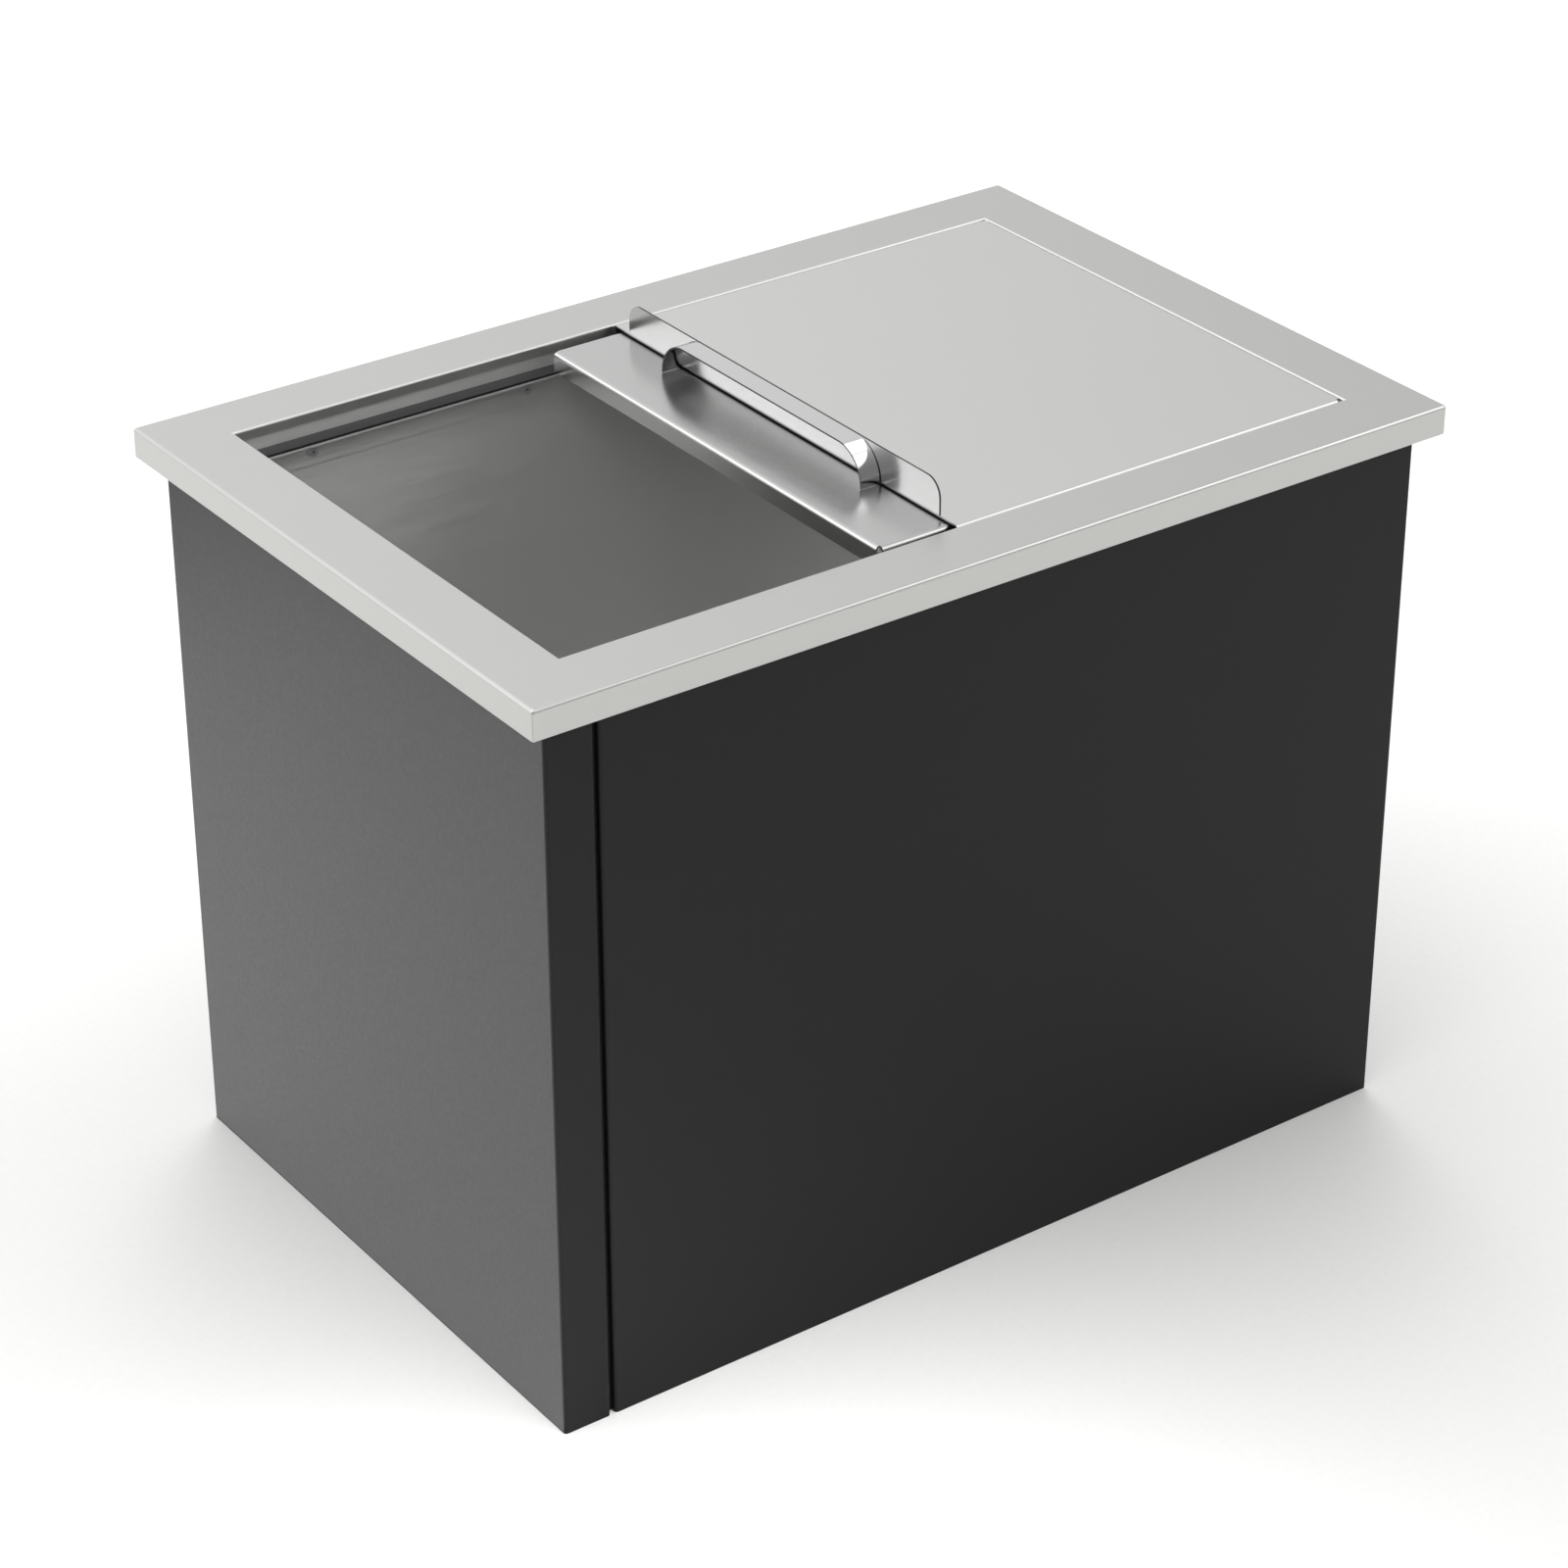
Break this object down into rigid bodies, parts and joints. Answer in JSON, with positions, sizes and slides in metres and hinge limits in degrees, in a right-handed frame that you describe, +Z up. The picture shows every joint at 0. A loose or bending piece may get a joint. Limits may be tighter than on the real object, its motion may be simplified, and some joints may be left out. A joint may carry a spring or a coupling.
{
  "type": "drop-in ice bin",
  "caption": "Insulated drop-in ice bin: brushed steel rim and well in a black sheet casing, sliding covers with a finger pull, and a floor drain with a shut-off valve.",
  "frame": {"origin": "middle of the casing's footprint, at its base", "axes": "+X along the length, towards the end that the upper cover closes, +Y from the front to the back, +Z up"},
  "size_m": [0.61, 0.406, 0.477],
  "materials": {
    "rim_steel": "satin",
    "cover_steel": "satin",
    "bright_steel": "polished",
    "well_steel": "satin",
    "casing_black": "satin",
    "rivet_aluminium": "satin",
    "foam": "matte",
    "glide_nylon": "satin",
    "gasket_rubber": "matte",
    "drain_steel": "satin",
    "plated_brass": "satin",
    "seat_plastic": "satin",
    "valve_steel": "satin",
    "zinc_steel": "satin",
    "sleeve_vinyl": "satin"
  },
  "bodies": {
    "bin": {"top_flange": "rim_steel", "inner_tub": "well_steel", "front_rail": "well_steel", "rear_rail": "well_steel", "front_glide": "glide_nylon", "rear_glide": "glide_nylon", "rail_rivets": "rivet_aluminium", "front_right_panel": "casing_black", "rear_left_panel": "casing_black", "front_seam_bar": "casing_black", "rear_seam_bar": "casing_black", "seam_rivets": "rivet_aluminium", "base_pan": "casing_black", "insulation_right": "foam", "insulation_left": "foam", "insulation_front": "foam", "insulation_rear": "foam", "insulation_floor": "foam", "drain_strainer": "drain_steel", "drain_body": "drain_steel", "drain_gasket": "gasket_rubber", "drain_washer": "plated_brass", "drain_locknut": "plated_brass", "drain_elbow": "plated_brass", "valve_body": "plated_brass", "valve_end": "plated_brass", "valve_seats": "seat_plastic", "valve_gland": "valve_steel", "outlet_elbow": "plated_brass", "pipe_saddle": "zinc_steel", "saddle_screws": "zinc_steel"},
    "upper_cover": {"upper_cover": "cover_steel", "cover_upstand": "bright_steel", "finger_hood": "bright_steel"},
    "lower_cover": {"lower_cover": "bright_steel", "lower_cover_stiffener": "well_steel"},
    "valve_lever": {"valve_ball": "valve_steel", "valve_stem": "valve_steel", "valve_lever": "valve_steel", "lever_nut": "valve_steel", "lever_sleeve": "sleeve_vinyl"}
  },
  "joints": [
    {"name": "upper_cover_slide", "type": "slide", "parent": "bin", "child": "upper_cover", "axis": [-1, 0, 0], "range_m": [0, 0.239]},
    {"name": "lower_cover_slide", "type": "slide", "parent": "bin", "child": "lower_cover", "axis": [-1, 0, 0], "range_m": [-0.0475, 0.204]},
    {"name": "valve_turn", "type": "hinge", "parent": "bin", "child": "valve_lever", "pos_m": [0.0575, 0, 0.036], "axis": [0, 0, -1], "range_deg": [0, 90]}
  ]
}
